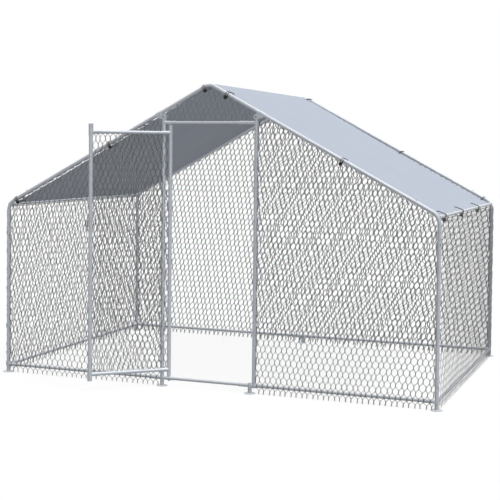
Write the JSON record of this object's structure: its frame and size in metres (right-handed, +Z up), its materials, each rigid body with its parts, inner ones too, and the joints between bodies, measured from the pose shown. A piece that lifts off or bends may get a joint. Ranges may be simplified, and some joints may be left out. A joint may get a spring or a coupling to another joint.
{
  "type": "walk-in chicken coop",
  "caption": "Walk-in poultry run: peaked frame of galvanised tube with wire-netted walls, a hinged netted door in the gable and a stretched sheet roof held by ball ties.",
  "frame": {"origin": "on the ground, at the middle of the four corner posts and of the peg holes in their foot plates", "axes": "+X to the right along the front gable, -Y out of the front, +Z up"},
  "size_m": [3.047, 2.3958, 1.9665],
  "materials": {
    "galvanised_tube": "galvanised, satin, faint spangle",
    "galvanised_fitting": "galvanised, satin, duller at the welds",
    "zinc_fastener": "zinc plated",
    "netting_wire": "galvanised wire, dull",
    "cover_sheet": "coated woven sheet, light blue-grey above, grey below",
    "eyelet": "pressed, zinc plated",
    "tie_cord": "black elastic cord",
    "tie_ball": "black moulded ball"
  },
  "bodies": {
    "frame": {"clamp_bolts": "zinc_fastener", "cover_eyelets": "eyelet", "door_header": "galvanised_tube", "front_left_bottom_rail": "galvanised_tube", "front_left_eave_elbow": "galvanised_fitting", "front_left_foot": "galvanised_fitting", "front_left_lower_rafter": "galvanised_tube", "front_left_net": "netting_wire", "front_left_post": "galvanised_tube", "front_left_upper_rafter": "galvanised_tube", "front_peak_elbow": "galvanised_fitting", "front_right_bottom_rail": "galvanised_tube", "front_right_eave_elbow": "galvanised_fitting", "front_right_foot": "galvanised_fitting", "front_right_lower_rafter": "galvanised_tube", "front_right_net": "netting_wire", "front_right_post": "galvanised_tube", "front_right_upper_rafter": "galvanised_tube", "hinge_pins": "zinc_fastener", "joint_screws": "zinc_fastener", "left_bottom_rail": "galvanised_tube", "left_door_foot": "galvanised_fitting", "left_door_post": "galvanised_tube", "left_eave_rail": "galvanised_tube", "left_net": "netting_wire", "over_door_net": "netting_wire", "post_clamps": "galvanised_fitting", "rear_left_bottom_rail": "galvanised_tube", "rear_left_eave_elbow": "galvanised_fitting", "rear_left_foot": "galvanised_fitting", "rear_left_lower_rafter": "galvanised_tube", "rear_left_post": "galvanised_tube", "rear_left_upper_rafter": "galvanised_tube", "rear_middle_foot": "galvanised_fitting", "rear_net": "netting_wire", "rear_peak_elbow": "galvanised_fitting", "rear_right_bottom_rail": "galvanised_tube", "rear_right_eave_elbow": "galvanised_fitting", "rear_right_foot": "galvanised_fitting", "rear_right_lower_rafter": "galvanised_tube", "rear_right_post": "galvanised_tube", "rear_right_upper_rafter": "galvanised_tube", "ridge_rail": "galvanised_tube", "right_bottom_rail": "galvanised_tube", "right_door_foot": "galvanised_fitting", "right_door_post": "galvanised_tube", "right_eave_rail": "galvanised_tube", "right_net": "netting_wire", "roof_cover": "cover_sheet", "threshold_rail": "galvanised_tube", "tie_balls": "tie_ball", "tie_loops": "tie_cord"},
    "door": {"door_hinge_stile": "galvanised_tube", "door_latch_stile": "galvanised_tube", "door_tees": "galvanised_fitting", "door_top_rail": "galvanised_tube", "door_bottom_rail": "galvanised_tube", "door_net": "netting_wire", "latch_collar": "galvanised_fitting"},
    "latch": {"latch_fork": "zinc_fastener"}
  },
  "joints": [
    {"name": "door_hinge", "type": "hinge", "parent": "frame", "child": "door", "pos_m": [-0.272, -0.9875, 0.067], "axis": [0, 0, 1], "range_deg": [0, 138]},
    {"name": "latch_pivot", "type": "hinge", "parent": "door", "child": "latch", "pos_m": [-0.67999, -1.35485, 1.09], "axis": [-0.6691, 0.7431, 0], "range_deg": [0, 90]}
  ]
}
